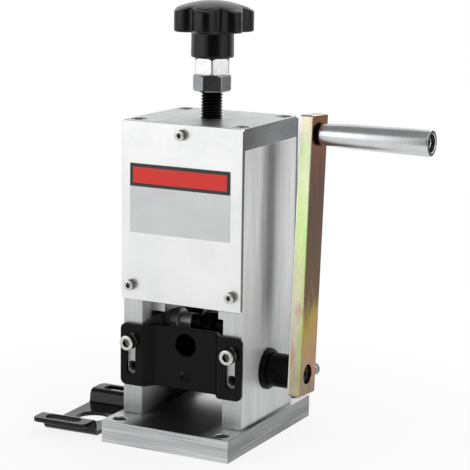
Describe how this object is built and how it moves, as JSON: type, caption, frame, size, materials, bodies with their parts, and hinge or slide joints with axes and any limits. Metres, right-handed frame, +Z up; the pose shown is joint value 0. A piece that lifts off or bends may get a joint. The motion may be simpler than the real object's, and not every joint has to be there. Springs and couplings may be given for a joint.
{
  "type": "hand crank wire stripper",
  "caption": "Bench wire stripper: a crank turns a toothed roller under a round blade that a star knob raises and lowers; slotted guide plates feed the cable.",
  "frame": {"origin": "middle of the base plate's underside, where the machine stands on the bench", "axes": "+Z up; -Y towards the front guide plate, where the cable goes in; +X towards the crank"},
  "size_m": [0.2489, 0.1318, 0.2885],
  "materials": {
    "satin_aluminium": "satin, finely ground",
    "brushed_aluminium": "brushed upright",
    "top_aluminium": "satin, a darker grey",
    "zinc_plated_steel": "yellow zinc plating with green and pink tints",
    "bright_steel": "bright nickel or zinc",
    "brushed_steel": "turned and brushed",
    "dark_steel": "plain, a dull grey",
    "blade_steel": "hardened and ground",
    "bronze": "oiled bearing bronze",
    "black_oxide": "black oxide, slightly glossy",
    "black_paint": "black powder coat, semi-gloss",
    "black_plastic": "polished phenolic plastic",
    "label_film": "blank printed film: a light field under a black band with a red stripe"
  },
  "bodies": {
    "frame": {"base_plate": "satin_aluminium", "left_side_plate": "brushed_aluminium", "right_side_plate": "brushed_aluminium", "top_plate": "top_aluminium", "front_cover": "satin_aluminium", "rear_cover": "satin_aluminium", "blank_label": "label_film", "left_bush": "bronze", "right_bush": "bronze", "bearing_housing": "black_oxide", "top_screw_front_left": "bright_steel", "top_screw_front_right": "bright_steel", "top_screw_rear_left": "bright_steel", "top_screw_rear_right": "bright_steel", "base_screw_front_left": "bright_steel", "base_screw_front_right": "bright_steel", "base_screw_rear_left": "bright_steel", "base_screw_rear_right": "bright_steel", "front_cover_screw_top": "bright_steel", "front_cover_screw_left": "bright_steel", "front_cover_screw_right": "bright_steel", "rear_cover_screw_top": "bright_steel", "rear_cover_screw_left": "bright_steel", "rear_cover_screw_right": "bright_steel", "front_guide_screw_left": "bright_steel", "front_guide_screw_right": "bright_steel", "rear_guide_screw_left": "bright_steel", "rear_guide_screw_right": "bright_steel"},
    "crank": {"crank_shaft": "dark_steel", "drive_roller": "black_oxide", "left_roller_spacer": "dark_steel", "right_roller_spacer": "dark_steel", "hub_sleeve": "black_oxide", "crank_arm": "zinc_plated_steel", "arm_clamp_screw": "bright_steel", "handle_bolt": "bright_steel", "handle_washer": "black_oxide"},
    "grip": {"handle_grip": "brushed_steel"},
    "carriage": {"blade_carriage": "satin_aluminium", "screw_retainer": "dark_steel", "retainer_screw_left": "bright_steel", "retainer_screw_right": "bright_steel", "blade_axle": "bright_steel", "left_axle_collar": "bright_steel", "right_axle_collar": "bright_steel"},
    "blade": {"blade_hub": "dark_steel", "circular_blade": "blade_steel", "blade_nut": "dark_steel"},
    "knob": {"adjusting_screw": "black_oxide", "lower_nut": "dark_steel", "upper_nut": "bright_steel", "star_knob": "black_plastic"},
    "front_guide": {"front_guide_plate": "black_paint"},
    "rear_guide": {"rear_guide_plate": "black_paint"},
    "spare_guide": {"spare_guide_plate": "black_paint"}
  },
  "joints": [
    {"name": "crank_turn", "type": "hinge", "parent": "frame", "child": "crank", "pos_m": [0, 0, 0.0482], "axis": [1, 0, 0], "continuous": true},
    {"name": "grip_spin", "type": "hinge", "parent": "crank", "child": "grip", "pos_m": [0.113, 0.0099, 0.20549], "axis": [1, 0, 0], "continuous": true},
    {"name": "carriage_slide", "type": "slide", "parent": "frame", "child": "carriage", "axis": [0, 0, 1], "range_m": [-0.001, 0.024]},
    {"name": "knob_turn", "type": "hinge", "parent": "carriage", "child": "knob", "pos_m": [0, 0, 0.26], "axis": [0, 0, 1], "range_deg": [-180, 4320]},
    {"name": "blade_spin", "type": "hinge", "parent": "carriage", "child": "blade", "pos_m": [0, 0, 0.073], "axis": [1, 0, 0], "continuous": true},
    {"name": "front_guide_slide", "type": "slide", "parent": "frame", "child": "front_guide", "axis": [0, 0, 1], "range_m": [-0.0027, 0.015]},
    {"name": "rear_guide_slide", "type": "slide", "parent": "frame", "child": "rear_guide", "axis": [0, 0, 1], "range_m": [-0.0027, 0.015]},
    {"name": "spare_guide_lift", "type": "slide", "parent": "frame", "child": "spare_guide", "axis": [0, 0, 1], "range_m": [0, 0.2]}
  ],
  "couplings": [
    {"joint": "knob_turn", "follows": "carriage_slide", "rad_per_m": 3141.6}
  ]
}
